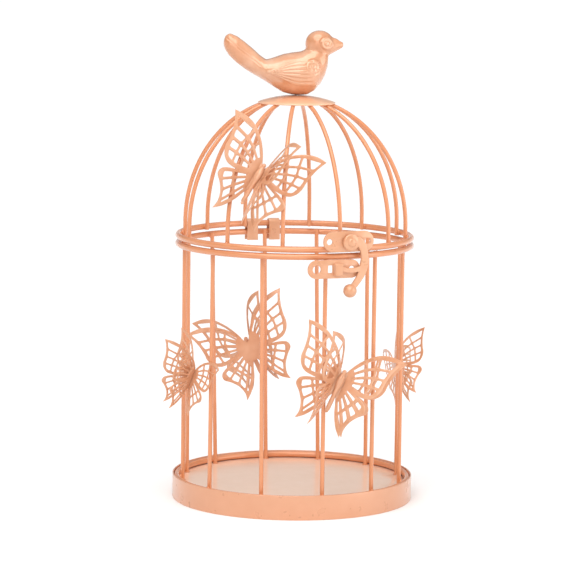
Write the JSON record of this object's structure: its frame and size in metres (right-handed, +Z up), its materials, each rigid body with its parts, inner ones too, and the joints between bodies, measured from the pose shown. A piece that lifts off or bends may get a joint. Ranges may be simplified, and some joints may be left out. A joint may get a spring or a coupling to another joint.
{
  "type": "birdcage card box",
  "caption": "Round wire birdcage box for cards, with a tray base, a hinged wire dome lid, a swinging hook latch, a small bird finial and pierced metal butterflies.",
  "frame": {"origin": "centre of the cage's axis, on the surface that the tray stands on", "axes": "+Z up along the cage's axis, -Y towards the latch, +Y towards the hinge, +X to the right when the latch faces you"},
  "size_m": [0.1779, 0.1904, 0.2918],
  "materials": {
    "wire_lacquer": "semi-gloss peach rose-gold lacquer over steel wire",
    "tray_lacquer": "smooth satin peach rose-gold lacquer over sheet steel",
    "bird_lacquer": "glossy peach rose-gold lacquer over a cast body",
    "latch_lacquer": "semi-gloss pale peach lacquer over pressed steel",
    "butterfly_lacquer": "satin peach rose-gold lacquer over thin pierced sheet",
    "screw_steel": "plain zinc plated steel"
  },
  "bodies": {
    "cage": {"base_band": "tray_lacquer", "floor_plate": "tray_lacquer", "base_ring": "wire_lacquer", "upright_01": "wire_lacquer", "upright_02": "wire_lacquer", "upright_03": "wire_lacquer", "upright_04": "wire_lacquer", "upright_05": "wire_lacquer", "upright_06": "wire_lacquer", "upright_07": "wire_lacquer", "upright_08": "wire_lacquer", "upright_09": "wire_lacquer", "upright_10": "wire_lacquer", "upright_11": "wire_lacquer", "upright_12": "wire_lacquer", "body_ring": "wire_lacquer", "hinge_strap_left": "latch_lacquer", "hinge_strap_right": "latch_lacquer", "catch_plate": "latch_lacquer", "front_butterfly_back_wings": "butterfly_lacquer", "front_butterfly_front_wings": "butterfly_lacquer", "front_butterfly_body": "butterfly_lacquer", "right_butterfly_back_wings": "butterfly_lacquer", "right_butterfly_front_wings": "butterfly_lacquer", "right_butterfly_body": "butterfly_lacquer", "rear_butterfly_back_wings": "butterfly_lacquer", "rear_butterfly_front_wings": "butterfly_lacquer", "rear_butterfly_body": "butterfly_lacquer", "left_butterfly_back_wings": "butterfly_lacquer", "left_butterfly_front_wings": "butterfly_lacquer", "left_butterfly_body": "butterfly_lacquer"},
    "lid": {"lid_ring": "wire_lacquer", "dome_rib_01": "wire_lacquer", "dome_rib_02": "wire_lacquer", "dome_rib_03": "wire_lacquer", "dome_rib_04": "wire_lacquer", "dome_rib_05": "wire_lacquer", "dome_rib_06": "wire_lacquer", "dome_rib_07": "wire_lacquer", "dome_rib_08": "wire_lacquer", "dome_rib_09": "wire_lacquer", "dome_rib_10": "wire_lacquer", "dome_rib_11": "wire_lacquer", "dome_rib_12": "wire_lacquer", "crown_cap": "latch_lacquer", "bird": "bird_lacquer", "bird_screw": "screw_steel", "latch_plate": "latch_lacquer", "hook_rivet": "latch_lacquer", "dome_butterfly_back_wings": "butterfly_lacquer", "dome_butterfly_front_wings": "butterfly_lacquer", "dome_butterfly_body": "butterfly_lacquer"},
    "hook": {"latch_hook": "latch_lacquer"}
  },
  "joints": [
    {"name": "lid_hinge", "type": "hinge", "parent": "cage", "child": "lid", "pos_m": [0, 0.07175, 0.165], "axis": [-1, 0, 0], "range_deg": [0, 115]},
    {"name": "hook_swing", "type": "hinge", "parent": "lid", "child": "hook", "pos_m": [0.01208, -0.07617, 0.16837], "axis": [0.0872, -0.9962, -0.0076], "range_deg": [0, 100]}
  ]
}
